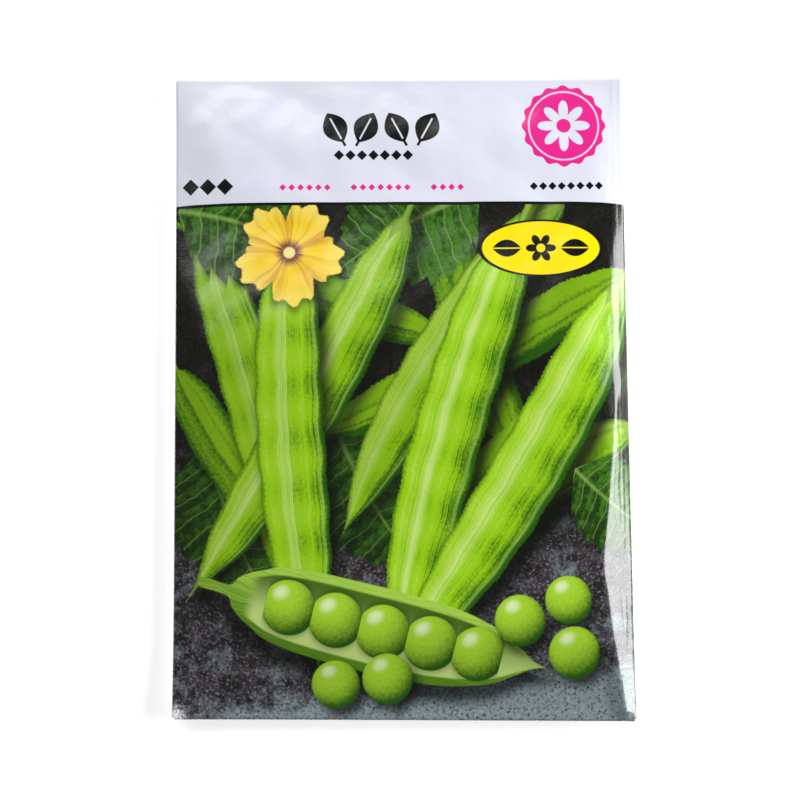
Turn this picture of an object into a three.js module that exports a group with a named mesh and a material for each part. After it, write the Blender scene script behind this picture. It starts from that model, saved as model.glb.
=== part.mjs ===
// A sealed paper seed packet with its seeds, lying on its back.
// Millimetres. +X is the front's right side, +Y its top edge and +Z points out of the front.
// The origin is under the middle of the packet, on the surface that it rests on.

import * as THREE from "three";
import { mergeVertices } from "three/addons/utils/BufferGeometryUtils.js";

// The packet, outside, folded shut
const WIDTH = 81;
const HEIGHT = 114.4;

// Paper and glue. The wall is thicker than real paper so that it holds as a solid.
const PAPER = 0.3;
const GLUE = 0.16;
const LAP = 0.6; // from the middle of one layer to the middle of the layer glued on it

// Flaps of the sheet
const TAB = 10;
const TAB_SLANT = 4;
const BOTTOM_FLAP = 13;
const TOP_FLAP = 16;
const FLAP_SLANT = 5;
const BACK_SHORT = 0.4; // the back panel's free edge stops this far inside the left fold

// Swell, as the distance between the middles of the front and back layers
const EDGE_ROOM = 1.45;
const BELLY_ROOM = 5.75;
const LEFT_POWER = 4; // the left side slopes gently
const RIGHT_POWER = 8; // the right side rolls over close to its edge
const BELLY_LOW = -38; // the packet is full from here
const BELLY_HIGH = 6; // to here
const NECK_LOW = 42;
const NECK_HIGH = 44;
const NECK_SHARE = 0.3; // of the swell, left below the top fold

// The back rests on a flat and rises towards every edge.
const FLAT_Y = -6;
const FLAT_HALF_WIDTH = 14;
const FLAT_HALF_HEIGHT = 22;
const SIDE_RISE = 1.6;
const END_RISE = 2.4;

// Folds stand out past the panels that they end.
const FOLD_OUT = 0.75;
const HALF_X = WIDTH / 2 - FOLD_OUT - PAPER / 2;
const HALF_Y = HEIGHT / 2 - FOLD_OUT - PAPER / 2;

// Steps of the grid in a flap, a fold and a panel
const FLAP_STEPS = 3;
const FOLD_STEPS = 5;
const PANEL_STEPS_ACROSS = 16;
const PANEL_STEPS_UP = 22;

// Glue strips
const STRIP_INSET = 1.5;
const SIDE_STRIP_HALF_HEIGHT = 46;
const SIDE_STRIP_STEPS = [2, 18];
const END_STRIP_HALF_WIDTH = 30;
const END_STRIP_STEPS = [12, 3];

// Seeds
const SEEDS = 34;
const SEED_RADIUS = 2.2;
const SEED_RADIUS_SPREAD = 0.2;
const SEED_TIP = 0.12; // the hilum end stands out by this share of the radius
const SEED_SIDES = 10;
const SEED_RINGS = 7;
const SEED_TILT = Math.PI / 4; // the long axis stays this close to level
const SEED_CLEARANCE = 0.1;
const LAYER_RADIUS = 22;
const LAYER_Y = -16;
const LAYER_JITTER = 0.35;
const FIRST_DRAW = 20;

// Colours
const PRINTED_PAPER = 0xe5e7f4;
const DRY_GLUE = 0xd9d2b8;
const SEED_COAT = 0x4c5145;

const { clamp, lerp, smoothstep } = THREE.MathUtils;

// How much of the swell there is at a point, from 0 to 1
function fullness(x, y) {
  const power = x < 0 ? LEFT_POWER : RIGHT_POWER;
  const across = 1 - Math.min(1, Math.abs(x) / (WIDTH / 2)) ** power;
  const rising = smoothstep(y, -HEIGHT / 2, BELLY_LOW);
  const thinning = lerp(1, NECK_SHARE, smoothstep(y, BELLY_HIGH, NECK_HIGH));
  const closing = 1 - smoothstep(y, NECK_LOW, HEIGHT / 2);
  return across * rising * thinning * closing;
}

// Height of the middle of the back layer
function backHeight(x, y) {
  const toSide = WIDTH / 2 - FLAT_HALF_WIDTH;
  const toEnd = HEIGHT / 2 - Math.sign(y - FLAT_Y) * FLAT_Y - FLAT_HALF_HEIGHT;
  const side = Math.max(0, Math.abs(x) - FLAT_HALF_WIDTH) / toSide;
  const end = Math.max(0, Math.abs(y - FLAT_Y) - FLAT_HALF_HEIGHT) / toEnd;
  return PAPER / 2 + Math.hypot(SIDE_RISE * side ** 2, END_RISE * end ** 2);
}

const frontHeight = (x, y) => backHeight(x, y) + lerp(EDGE_ROOM, BELLY_ROOM, fullness(x, y));
const tabHeight = (x, y) => backHeight(x, y) + LAP;
const flapHeight = (x, y) => backHeight(x, y) - LAP;
const sideGlueHeight = (x, y) => backHeight(x, y) + LAP / 2;
const endGlueHeight = (x, y) => backHeight(x, y) - LAP / 2;

// A fold leaves one layer at a panel's edge and comes back on another, in line with both.
// axis is 0 for x or 1 for y, way is the side that it stands out on, and share runs from 0 to 1.
function onFold(x, y, axis, way, leaves, returns, share) {
  const step = 0.01;
  const inside = [x, y];
  inside[axis] -= way * step;
  const end = (height) => {
    const z = height(x, y);
    const slope = (z - height(...inside)) / step;
    const out = ((4 / 3) * FOLD_OUT) / Math.hypot(1, slope);
    return { z, out, handle: z + out * slope };
  };
  const first = end(leaves);
  const last = end(returns);
  const bezier = (a, b, c, d) => {
    const rest = 1 - share;
    return a * rest ** 3 + 3 * b * rest ** 2 * share + 3 * c * rest * share ** 2 + d * share ** 3;
  };
  const place = [x, y];
  place[axis] += way * bezier(0, first.out, last.out, 0);
  return new THREE.Vector3(...place, bezier(first.z, first.handle, last.handle, last.z));
}

// The flat sheet is ruled into five zones each way: flap, fold, front panel, fold, and the back panel
// or another flap. A place on it is a number each way, whose whole part says which zone it is in.
// Both edges of the front panel belong to it.
const FIRST_FLAP = 0;
const FIRST_FOLD = 1;
const PANEL = 2;
const LAST_FOLD = 3;
const LAST_FLAP = 4;

function zoneOf(place) {
  return place >= PANEL && place <= PANEL + 1 ? PANEL : Math.floor(place);
}

function ruled(panelSteps, lastSteps) {
  const steps = [FLAP_STEPS, FOLD_STEPS, panelSteps, FOLD_STEPS, lastSteps];
  const lines = steps.flatMap((count, zone) => Array.from({ length: count }, (_, i) => zone + i / count));
  return [...lines, steps.length];
}

// Along a row, the sheet goes from the side tab over the front panel to the back panel.
function onSide(across, y) {
  const zone = zoneOf(across);
  if (zone === FIRST_FLAP) {
    const depth = FIRST_FOLD - across;
    const level = y * (1 - (depth * TAB_SLANT) / HALF_Y);
    const x = -HALF_X + depth * TAB;
    return new THREE.Vector3(x, level, tabHeight(x, level));
  }
  if (zone === FIRST_FOLD) {
    return onFold(-HALF_X, y, 0, -1, frontHeight, tabHeight, PANEL - across);
  }
  if (zone === LAST_FOLD) {
    return onFold(HALF_X, y, 0, 1, frontHeight, backHeight, across - LAST_FOLD);
  }
  const x = lerp(HALF_X, BACK_SHORT - HALF_X, across - LAST_FLAP);
  return new THREE.Vector3(x, y, backHeight(x, y));
}

// Up a column, it goes from the bottom flap over the front panel to the top flap.
function onEnd(x, up) {
  const zone = zoneOf(up);
  if (zone === FIRST_FOLD) {
    return onFold(x, -HALF_Y, 1, -1, frontHeight, flapHeight, PANEL - up);
  }
  if (zone === LAST_FOLD) {
    return onFold(x, HALF_Y, 1, 1, frontHeight, flapHeight, up - LAST_FOLD);
  }
  const bottom = zone === FIRST_FLAP;
  const depth = bottom ? FIRST_FOLD - up : up - LAST_FLAP;
  const y = bottom ? depth * BOTTOM_FLAP - HALF_Y : HALF_Y - depth * TOP_FLAP;
  const inset = x * (1 - (depth * FLAP_SLANT) / HALF_X);
  return new THREE.Vector3(inset, y, flapHeight(inset, y));
}

function folded(across, up) {
  const x = lerp(-HALF_X, HALF_X, across - PANEL);
  const y = lerp(-HALF_Y, HALF_Y, up - PANEL);
  if (zoneOf(across) !== PANEL) {
    return onSide(across, y);
  }
  if (zoneOf(up) !== PANEL) {
    return onEnd(x, up);
  }
  return new THREE.Vector3(x, y, frontHeight(x, y));
}

// Merges the corners of loose triangles into one closed surface
function closed(geometry) {
  geometry.deleteAttribute("normal");
  geometry.deleteAttribute("uv");
  const merged = mergeVertices(geometry);
  merged.computeVertexNormals();
  return merged;
}

// A closed solid of even thickness on both sides of a grid of points, without the cells left out
function thickened(grid, thickness, isThere = () => true) {
  const columns = grid[0].length;
  const point = (k) => grid[Math.floor(k / columns)][k % columns];
  const cells = [];
  for (let j = 0; j + 1 < grid.length; j += 1) {
    for (let i = 0; i + 1 < columns; i += 1) {
      if (isThere(i, j)) {
        const k = j * columns + i;
        cells.push([k, k + 1, k + 1 + columns, k + columns]);
      }
    }
  }
  const normals = new Map();
  const edges = new Map();
  cells.forEach((cell) => {
    const [a, b, c, d] = cell.map(point);
    const normal = new THREE.Vector3().crossVectors(c.clone().sub(a), d.clone().sub(b)).normalize();
    cell.forEach((k, turn) => {
      const next = cell[(turn + 1) % cell.length];
      normals.set(k, (normals.get(k) ?? new THREE.Vector3()).add(normal));
      edges.set(`${k} ${next}`, [k, next]);
    });
  });
  const corner = (k, side) => {
    const offset = normals.get(k).clone().setLength((side * thickness) / 2);
    return point(k).clone().add(offset).toArray();
  };
  const corners = [];
  const quad = (a, b, c, d) => corners.push(...a, ...b, ...c, ...a, ...c, ...d);
  cells.forEach(([a, b, c, d]) => {
    quad(corner(a, 1), corner(b, 1), corner(c, 1), corner(d, 1));
    quad(corner(a, -1), corner(d, -1), corner(c, -1), corner(b, -1));
  });
  edges.forEach(([a, b]) => {
    if (!edges.has(`${b} ${a}`)) {
      quad(corner(a, 1), corner(a, -1), corner(b, -1), corner(b, 1));
    }
  });
  const geometry = new THREE.BufferGeometry();
  geometry.setAttribute("position", new THREE.Float32BufferAttribute(corners, 3));
  return closed(geometry);
}

function piece(name, geometry, color, roughness) {
  const material = new THREE.MeshStandardMaterial({ color, roughness, metalness: 0 });
  const mesh = new THREE.Mesh(geometry, material);
  mesh.name = name;
  return mesh;
}

// One sheet: front and back panels, side tab, bottom flap and top flap
function envelope() {
  const across = ruled(PANEL_STEPS_ACROSS, PANEL_STEPS_ACROSS);
  const up = ruled(PANEL_STEPS_UP, FLAP_STEPS);
  const grid = up.map((v) => across.map((u) => folded(u, v)));
  const inPanel = (lines, i) => zoneOf((lines[i] + lines[i + 1]) / 2) === PANEL;
  const isThere = (i, j) => inPanel(across, i) || inPanel(up, j);
  return piece("envelope", thickened(grid, PAPER, isThere), PRINTED_PAPER, 0.35);
}

// A glue strip in the middle of a lap, from its low corner to its high corner
function glue(name, low, high, steps, height) {
  const along = (axis) =>
    Array.from({ length: steps[axis] + 1 }, (_, i) => lerp(low[axis], high[axis], i / steps[axis]));
  const grid = along(1).map((y) => along(0).map((x) => new THREE.Vector3(x, y, height(x, y))));
  return piece(name, thickened(grid, GLUE), DRY_GLUE, 0.5);
}

function glueStrips() {
  const tabLeft = STRIP_INSET - HALF_X;
  const tabRight = TAB - STRIP_INSET - HALF_X;
  const bottomHigh = BOTTOM_FLAP - STRIP_INSET - HALF_Y;
  const topLow = HALF_Y - TOP_FLAP + STRIP_INSET;
  const endY = HALF_Y - STRIP_INSET;
  const sideY = SIDE_STRIP_HALF_HEIGHT;
  const endX = END_STRIP_HALF_WIDTH;
  return [
    glue("side_seam_glue", [tabLeft, -sideY], [tabRight, sideY], SIDE_STRIP_STEPS, sideGlueHeight),
    glue("bottom_flap_glue", [-endX, -endY], [endX, bottomHigh], END_STRIP_STEPS, endGlueHeight),
    glue("top_flap_glue", [-endX, topLow], [endX, endY], END_STRIP_STEPS, endGlueHeight),
  ];
}

// The same draws, from 0 to 1, in the same order on every run
function draws(start) {
  const modulus = 2147483647;
  const multiplier = 48271;
  let state = start;
  return () => {
    state = (state * multiplier) % modulus;
    return state / modulus;
  };
}

// A round seed, a little longer towards its hilum
function seedShape(radius) {
  const geometry = new THREE.SphereGeometry(radius, SEED_SIDES, SEED_RINGS);
  const { position } = geometry.attributes;
  for (let k = 0; k < position.count; k += 1) {
    const share = clamp(position.getY(k) / radius, 0, 1);
    position.setY(k, position.getY(k) * (1 + SEED_TIP * share ** 4));
  }
  return closed(geometry);
}

// The seeds lie in one loose layer on the back panel, on a golden-angle spiral with some jitter.
function seeds() {
  const draw = draws(FIRST_DRAW);
  const either = () => 2 * draw() - 1;
  const goldenAngle = Math.PI * (3 - Math.sqrt(5));
  return Array.from({ length: SEEDS }, (_, k) => {
    const reach = LAYER_RADIUS * Math.sqrt((k + 0.5) / SEEDS);
    const x = reach * Math.cos(k * goldenAngle) + either() * LAYER_JITTER;
    const y = LAYER_Y + reach * Math.sin(k * goldenAngle) + either() * LAYER_JITTER;
    const radius = SEED_RADIUS + draw() * SEED_RADIUS_SPREAD;
    const name = `seed_${String(k + 1).padStart(2, "0")}`;
    const mesh = piece(name, seedShape(radius), SEED_COAT, 0.7);
    mesh.rotation.set(Math.PI / 2 + either() * SEED_TILT, 0, draw() * 2 * Math.PI, "ZXY");
    mesh.position.set(x, y, backHeight(x, y) + PAPER / 2 + radius + SEED_CLEARANCE);
    return mesh;
  });
}

const packet = new THREE.Group();
packet.add(envelope(), ...glueStrips(), ...seeds());

export default packet;
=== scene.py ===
"""A sealed paper seed packet: printed envelope, glue, seeds and the stage that it lies on.

Shapes are worked out in millimetres, on the packet's own axes, and become metres in the meshes.
+X is the front's right side, +Y its top edge and +Z points out of the front.
"""

import math
import random

import bmesh
import bpy
from bpy.props import FloatProperty, FloatVectorProperty, PointerProperty
from mathutils import Euler, Matrix, Vector


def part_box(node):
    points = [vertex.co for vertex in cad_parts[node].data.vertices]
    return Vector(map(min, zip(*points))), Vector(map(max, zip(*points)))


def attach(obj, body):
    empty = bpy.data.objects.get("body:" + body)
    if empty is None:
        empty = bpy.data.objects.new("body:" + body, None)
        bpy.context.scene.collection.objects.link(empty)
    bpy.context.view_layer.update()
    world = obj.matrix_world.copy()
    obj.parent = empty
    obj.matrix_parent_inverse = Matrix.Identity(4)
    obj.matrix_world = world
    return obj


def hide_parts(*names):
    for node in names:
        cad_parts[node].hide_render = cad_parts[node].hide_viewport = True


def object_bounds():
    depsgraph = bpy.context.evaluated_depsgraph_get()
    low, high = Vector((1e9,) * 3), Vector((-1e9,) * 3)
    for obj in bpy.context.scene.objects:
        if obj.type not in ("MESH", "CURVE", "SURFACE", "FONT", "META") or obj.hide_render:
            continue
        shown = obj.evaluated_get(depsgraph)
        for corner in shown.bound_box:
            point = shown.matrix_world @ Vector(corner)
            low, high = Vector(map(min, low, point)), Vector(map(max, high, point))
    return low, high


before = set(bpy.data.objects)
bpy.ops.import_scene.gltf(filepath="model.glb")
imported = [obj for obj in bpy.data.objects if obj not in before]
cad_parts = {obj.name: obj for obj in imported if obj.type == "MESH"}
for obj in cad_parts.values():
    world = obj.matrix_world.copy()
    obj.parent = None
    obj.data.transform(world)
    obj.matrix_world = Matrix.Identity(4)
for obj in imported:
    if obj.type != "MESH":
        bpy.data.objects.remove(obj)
CAD_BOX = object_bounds()

bl_info = {
    "name": "Seed packet",
    "version": (1, 0, 0),
    "blender": (4, 5, 0),
    "location": "3D View > Sidebar > Seed packet",
    "description": "Builds a printed paper seed packet, with its glue, its seeds and a stage",
    "category": "Object",
}

MM = 0.001
ENVELOPE = "envelope"
WIDTH = 81.0
HEIGHT = 114.4

# Flaps of the sheet
TAB = 10.0
TAB_SLANT = 4.0
BOTTOM_FLAP = 13.0
TOP_FLAP = 16.0
FLAP_SLANT = 5.0
BACK_SHORT = 0.4

# Swell, as the distance between the middles of the front and back layers
EDGE_ROOM = 0.85
BELLY_ROOM = 5.9
LEFT_POWER = 4
RIGHT_POWER = 8
BELLY_LOW = -38.0
BELLY_HIGH = 6.0
NECK_LOW = 42.0
NECK_HIGH = 44.0
NECK_SHARE = 0.3

# The back rests on a flat and rises towards every edge.
FLAT_Y = -6.0
FLAT_HALF_WIDTH = 14.0
FLAT_HALF_HEIGHT = 22.0
SIDE_RISE = 1.6
END_RISE = 2.4

FOLD_OUT = 0.45
LAP = 0.24
GLUE = 0.05

# A crease in the front, near its right edge: pairs of height up the packet and distance from its middle
CREASE = (
    (-58.0, 38.7),
    (-43.0, 36.4),
    (-35.5, 35.6),
    (-29.5, 34.8),
    (-20.0, 36.1),
    (-11.0, 37.3),
    (-1.5, 37.9),
    (1.0, 39.2),
    (3.5, 38.3),
    (28.0, 38.2),
    (58.0, 38.8),
)
CREASE_RISE = 0.36
CREASE_FAINT = 0.12
CREASE_PINCH = 0.6
CREASE_INNER = 2.8

# How far the bottom edge is out of square, at its left and right ends
BOTTOM_LEFT = 0.3
BOTTOM_RIGHT = -0.9

# A soft ridge beside the header's left end: its height, its place at the rule,
# its lean and its reach to the right
RIDGE_RISE = 0.75
RIDGE_X = -28.0
RIDGE_LEAN = 0.43
RIDGE_REACH = 17.0
ROUNDING = 0.25

# How much closer the grid's lines stand near the edges of a panel
CROWDING = 0.115

# Steps of the grid: flap, fold, panel, fold, and back panel or flap
STEPS_ACROSS = (8, 8, 100, 8, 100)
STEPS_UP = (14, 8, 140, 8, 18)
FIRST_FLAP, FIRST_FOLD, PANEL, LAST_FOLD, LAST_FLAP = range(5)

# Where the print's parts meet on the front, up from its middle, and half the rule's width
RULE_Y = 34.0
RULE_HALF = 0.27

# Millimetres of the flat sheet in one unit of the print's map
PRINT_UNIT = 100.0

# The stage, in metres and watts: each softbox's place, size and power, and what the camera looks at
SOFTBOXES = {
    "side_softbox": ((0.45, 0.02, 0.20), (0.30, 0.26), 3.0),
    "fill_softbox": ((-0.26, 0.64, 0.54), (0.80, 0.80), 6.4),
}
SKY = (0.96, 0.98, 1.0)
SKY_STRENGTH = 0.11
FLOOR_HALF = 1.5
FLOOR_GLOW = 0.42
AIM_X = -0.00043
AIM_Y = -0.00145


def linear(red, green, blue):
    """A colour given as it looks on screen, from 0 to 255, as light"""

    def channel(value):
        share = value / 255
        return share / 12.92 if share <= 0.04045 else ((share + 0.055) / 1.055) ** 2.4

    return (channel(red), channel(green), channel(blue))


def colour_property(name, description, shade):
    return FloatVectorProperty(
        name=name, description=description, subtype="COLOR", size=3, min=0, max=1, default=linear(*shade)
    )


def angle_property(name, description, degrees, **limits):
    default = math.radians(degrees)
    return FloatProperty(name=name, description=description, default=default, subtype="ANGLE", **limits)


class PacketSettings(bpy.types.PropertyGroup):
    """Sizes and colours of the packet"""

    paper: FloatProperty(
        name="Paper",
        description="Thickness of the coated paper",
        default=0.15 * MM,
        min=0.05 * MM,
        max=0.3 * MM,
        precision=5,
        unit="LENGTH",
    )
    stock: colour_property("Stock", "Unprinted paper", (240, 240, 243))
    header: colour_property("Header", "Pale tint behind the header", (229, 231, 244))
    ink: colour_property("Ink", "Rules and small ornaments", (12, 12, 14))
    badge: colour_property("Badge", "Badge and lozenges", (238, 38, 146))
    oval: colour_property("Oval", "Oval beside the pods", (251, 231, 0))
    pod_light: colour_property("Pod light", "Lit side of a pod", (152, 208, 18))
    pod_dark: colour_property("Pod dark", "Shaded side of a pod", (44, 104, 6))
    leaf: colour_property("Leaf", "Leaves", (70, 128, 30))
    slate: colour_property("Slate", "Stone behind the pods", (140, 156, 160))
    blossom: colour_property("Blossom", "Petals", (252, 214, 40))
    glue: colour_property("Glue", "Dry glue", (217, 210, 184))
    seed: colour_property("Seed", "Seed coat", (76, 81, 69))


class StageSettings(bpy.types.PropertyGroup):
    """Camera and floor"""

    distance: FloatProperty(
        name="Distance", description="From the packet to the camera", default=0.248, min=0.1, unit="LENGTH"
    )
    field: angle_property("Field of view", "Angle that the picture spans", 32, min=0.1, max=2)
    elevation: angle_property(
        "Elevation", "Camera's angle above the horizon", 84.545, min=0, max=math.pi / 2
    )
    azimuth: angle_property("Azimuth", "Camera's way round the packet", 9.892)
    roll: angle_property("Roll", "Camera's turn about its own axis", 9.451)
    floor: colour_property("Floor", "Pale surface", (250, 250, 250))


def clamp(value, low=0.0, high=1.0):
    return max(low, min(high, value))


def lerp(first, last, share):
    return first + (last - first) * share


def smoothstep(low, high, value):
    share = clamp((value - low) / (high - low))
    return share * share * (3 - 2 * share)


def bell(distance, width):
    """1 at no distance, falling smoothly to nearly 0 past the width"""
    return math.exp(-((distance / width) ** 2))


# The folded sheet


def fullness(x, y):
    """How much of the swell there is at a point, from 0 to 1"""
    power = LEFT_POWER if x < 0 else RIGHT_POWER
    across = 1 - min(1, abs(x) / (WIDTH / 2)) ** power
    rising = smoothstep(-HEIGHT / 2, BELLY_LOW, y)
    thinning = lerp(1, NECK_SHARE, smoothstep(BELLY_HIGH, NECK_HIGH, y))
    closing = 1 - smoothstep(NECK_LOW, HEIGHT / 2, y)
    return across * rising * thinning * closing


def crowded(share):
    """Moves a share of a panel's length towards the nearer end"""
    return share - CROWDING * math.sin(math.tau * share)


def along_crease(y):
    """How far from the middle the crease is at a height up the packet"""
    for (low, first), (high, last) in zip(CREASE, CREASE[1:]):
        if y <= high:
            return lerp(first, last, clamp((y - low) / (high - low)))
    return CREASE[-1][1]


def rounded_ridge(distance, reach):
    """Nearly 1 on a rounded ridge, falling evenly to 0 at its reach"""
    return max(0, math.hypot(1, ROUNDING) - math.hypot(distance / reach, ROUNDING))


def creases(x, y):
    """Height that handling has added to the front panel or taken from it"""
    sharp = along_crease(y)
    reach = CREASE_INNER if x < sharp else WIDTH / 2 - 0.4 - sharp
    in_header = smoothstep(29, 38, y)
    rise = lerp(CREASE_RISE, CREASE_FAINT, smoothstep(-2, 8, y)) * (1 - in_header)
    rise += CREASE_PINCH * smoothstep(-40, -50, y)
    tent = rise * max(0, 1 - abs(x - sharp) / reach) * smoothstep(0, 2, HEIGHT / 2 - abs(y))
    to_side = smoothstep(0, 5, WIDTH / 2 - abs(x))
    to_end = smoothstep(0, 4, HEIGHT / 2 - abs(y))
    top = RIDGE_X - RIDGE_LEAN * (y - RULE_Y)
    flank = RIDGE_RISE * rounded_ridge(x - top, RIDGE_REACH if x > top else top + WIDTH / 2)
    folds = 0.14 * abs(math.sin(0.16 * x + 0.22 * y + 0.6)) + 0.12 * abs(math.sin(0.21 * x - 0.13 * y + 2))
    dent = -0.3 * bell(x - 37.4, 2.2) * bell(y + 32, 3.2)
    ripple = 0.07 * math.sin(0.31 * x + 0.12 * y + 1.1) * math.sin(0.17 * y - 0.08 * x)
    soft = 0.05 * math.sin(0.83 * x - 0.4 * y) * math.sin(0.52 * y + 0.3)
    gentle = (folds * in_header + ripple + soft) * to_side
    flank *= in_header * smoothstep(0, 9, HEIGHT / 2 - abs(y))
    return (gentle + dent) * to_end + tent + flank


def out_of_square(x, y):
    """Where the packet's crooked bottom puts a height up the packet"""
    low = clamp(-2 * y / HEIGHT, high=2)
    return y + lerp(BOTTOM_LEFT, BOTTOM_RIGHT, 0.5 + x / WIDTH) * low * low


class Sheet:
    """The one sheet that folds into the envelope, at a thickness of paper in millimetres"""

    def __init__(self, paper):
        self.paper = paper
        self.half_x = WIDTH / 2 - FOLD_OUT - paper / 2
        self.half_y = HEIGHT / 2 - FOLD_OUT - paper / 2
        self.fold = math.pi * FOLD_OUT

    def back(self, x, y):
        to_end = HEIGHT / 2 - math.copysign(FLAT_Y, (y - FLAT_Y) * FLAT_Y) - FLAT_HALF_HEIGHT
        side = max(0, abs(x) - FLAT_HALF_WIDTH) / (WIDTH / 2 - FLAT_HALF_WIDTH)
        end = max(0, abs(y - FLAT_Y) - FLAT_HALF_HEIGHT) / to_end
        return self.paper / 2 + math.hypot(SIDE_RISE * side**2, END_RISE * end**2)

    def bowed(self, x, y):
        return self.back(x, y) + lerp(EDGE_ROOM, BELLY_ROOM, fullness(x, y))

    def front(self, x, y):
        """Bowed, but flat from the crease to the right edge"""
        sharp = along_crease(y)
        if x <= sharp:
            return self.bowed(x, y) + creases(x, y)
        share = (x - sharp) / (WIDTH / 2 - sharp)
        return lerp(self.bowed(sharp, y), self.bowed(WIDTH / 2, y), share) + creases(x, y)

    def tab(self, x, y):
        return self.back(x, y) + LAP

    def flap(self, x, y):
        return self.back(x, y) - LAP

    def on_fold(self, place, axis, way, leaves, returns, share):
        """A point of a fold that leaves one layer at a panel's edge and comes back on another"""
        step = 0.01
        inside = list(place)
        inside[axis] -= way * step

        def end(height):
            z = height(*place)
            slope = (z - height(*inside)) / step
            out = 4 / 3 * FOLD_OUT / math.hypot(1, slope)
            return z, out, z + out * slope

        def bezier(a, b, c, d):
            rest = 1 - share
            return a * rest**3 + 3 * b * rest**2 * share + 3 * c * rest * share**2 + d * share**3

        first, last = end(leaves), end(returns)
        point = list(place)
        point[axis] += way * bezier(0, first[1], last[1], 0)
        return Vector((*point, bezier(first[0], first[2], last[2], last[0])))

    def on_side(self, zone, share, y):
        """Along a row: the side tab, its fold, the other fold and the back panel"""
        if zone == FIRST_FLAP:
            depth = 1 - share
            level = y * (1 - depth * TAB_SLANT / self.half_y)
            x = depth * TAB - self.half_x
            return Vector((x, level, self.tab(x, level)))
        if zone == FIRST_FOLD:
            return self.on_fold((-self.half_x, y), 0, -1, self.front, self.tab, 1 - share)
        if zone == LAST_FOLD:
            return self.on_fold((self.half_x, y), 0, 1, self.front, self.back, share)
        x = lerp(self.half_x, BACK_SHORT - self.half_x, share)
        return Vector((x, y, self.back(x, y)))

    def on_end(self, x, zone, share):
        """Up a column: the bottom flap, its fold, the top fold and the top flap"""
        if zone == FIRST_FOLD:
            return self.on_fold((x, -self.half_y), 1, -1, self.front, self.flap, 1 - share)
        if zone == LAST_FOLD:
            return self.on_fold((x, self.half_y), 1, 1, self.front, self.flap, share)
        bottom = zone == FIRST_FLAP
        depth = 1 - share if bottom else share
        y = depth * BOTTOM_FLAP - self.half_y if bottom else self.half_y - depth * TOP_FLAP
        inset = x * (1 - depth * FLAP_SLANT / self.half_x)
        return Vector((inset, y, self.flap(inset, y)))

    def folded(self, across, up):
        """Where the sheet's point at two (zone, share) pairs lies in the packet"""
        x = lerp(-self.half_x, self.half_x, across[1])
        y = lerp(-self.half_y, self.half_y, up[1])
        if across[0] != PANEL:
            return self.on_side(*across, y)
        if up[0] != PANEL:
            return self.on_end(x, *up)
        return Vector((x, y, self.front(x, y)))

    def flat(self, zone, share, half, first_flap, last_flap):
        """How far along the flat sheet a (zone, share) pair is from the front panel's middle"""
        starts = (-half - self.fold - first_flap, -half - self.fold, -half, half, half + self.fold)
        lengths = (first_flap, self.fold, 2 * half, self.fold, last_flap)
        return starts[zone] + share * lengths[zone]

    def printed(self, across, up):
        """The same point on the flat sheet, as the print's coordinates"""
        flat_x = self.flat(*across, self.half_x, TAB, 2 * self.half_x - BACK_SHORT)
        flat_y = self.flat(*up, self.half_y, BOTTOM_FLAP, TOP_FLAP)
        return flat_x, flat_y


def ruling(steps):
    """The (zone, share) pair of each line. Both edges of the front panel belong to it."""
    shares = [(zone, step / count) for zone, count in enumerate(steps) for step in range(count)]
    lines = [(zone, crowded(share) if zone == PANEL else share) for zone, share in shares]
    lines.append((len(steps) - 1, 1.0))
    edge = lines.index((LAST_FOLD, 0.0))
    lines[edge] = (PANEL, 1.0)
    return lines


# Meshes


def new_object(name, data):
    made = bpy.data.objects.new(name, data)
    bpy.context.scene.collection.objects.link(made)
    return made


def mesh_object(name, bm, materials):
    """Turns a bmesh into an object"""
    mesh = bpy.data.meshes.new(name)
    bm.to_mesh(mesh)
    bm.free()
    for material in materials:
        mesh.materials.append(material)
    return new_object(name, mesh)


def finish_object(name, bm, materials, nodes):
    """Turns a bmesh in millimetres into a piece that rides on the body and replaces its solids"""
    bmesh.ops.scale(bm, vec=(MM, MM, MM), verts=bm.verts)
    piece = mesh_object(name, bm, materials)
    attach(piece, "root")
    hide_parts(*nodes)
    return piece


def ruled_grid(columns, rows):
    """A flat grid whose vertices stand at their own column and row numbers"""
    bm = bmesh.new()
    bmesh.ops.create_grid(bm, x_segments=columns - 1, y_segments=rows - 1, size=0.5)
    bmesh.ops.translate(bm, vec=(0.5, 0.5, 0), verts=bm.verts)
    bmesh.ops.scale(bm, vec=(columns - 1, rows - 1, 1), verts=bm.verts)
    return bm


def envelope_mesh(sheet):
    across = ruling(STEPS_ACROSS)
    up = ruling(STEPS_UP)
    bm = ruled_grid(len(across), len(up))
    print_map = bm.loops.layers.uv.new("print")

    def zones(face):
        centre = face.calc_center_median()
        column, row = int(centre.x), int(centre.y)
        return across_zones[column], up_zones[row]

    across_zones = [zone for zone, count in enumerate(STEPS_ACROSS) for _ in range(count)]
    up_zones = [zone for zone, count in enumerate(STEPS_UP) for _ in range(count)]
    open_faces = [face for face in bm.faces if PANEL not in zones(face)]
    bmesh.ops.delete(bm, geom=open_faces, context="FACES")

    for face in bm.faces:
        face.smooth = True
        face.material_index = 0 if set(zones(face)) <= {PANEL, FIRST_FOLD, LAST_FOLD} else 1
    places = {vert: (across[round(vert.co.x)], up[round(vert.co.y)]) for vert in bm.verts}
    for vert, place in places.items():
        flat_x, flat_y = sheet.printed(*place)
        for loop in vert.link_loops:
            loop[print_map].uv = (flat_x / PRINT_UNIT, flat_y / PRINT_UNIT)
    for vert, place in places.items():
        vert.co = sheet.folded(*place)
        vert.co.y = out_of_square(vert.co.x, vert.co.y)
    return bm


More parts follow.
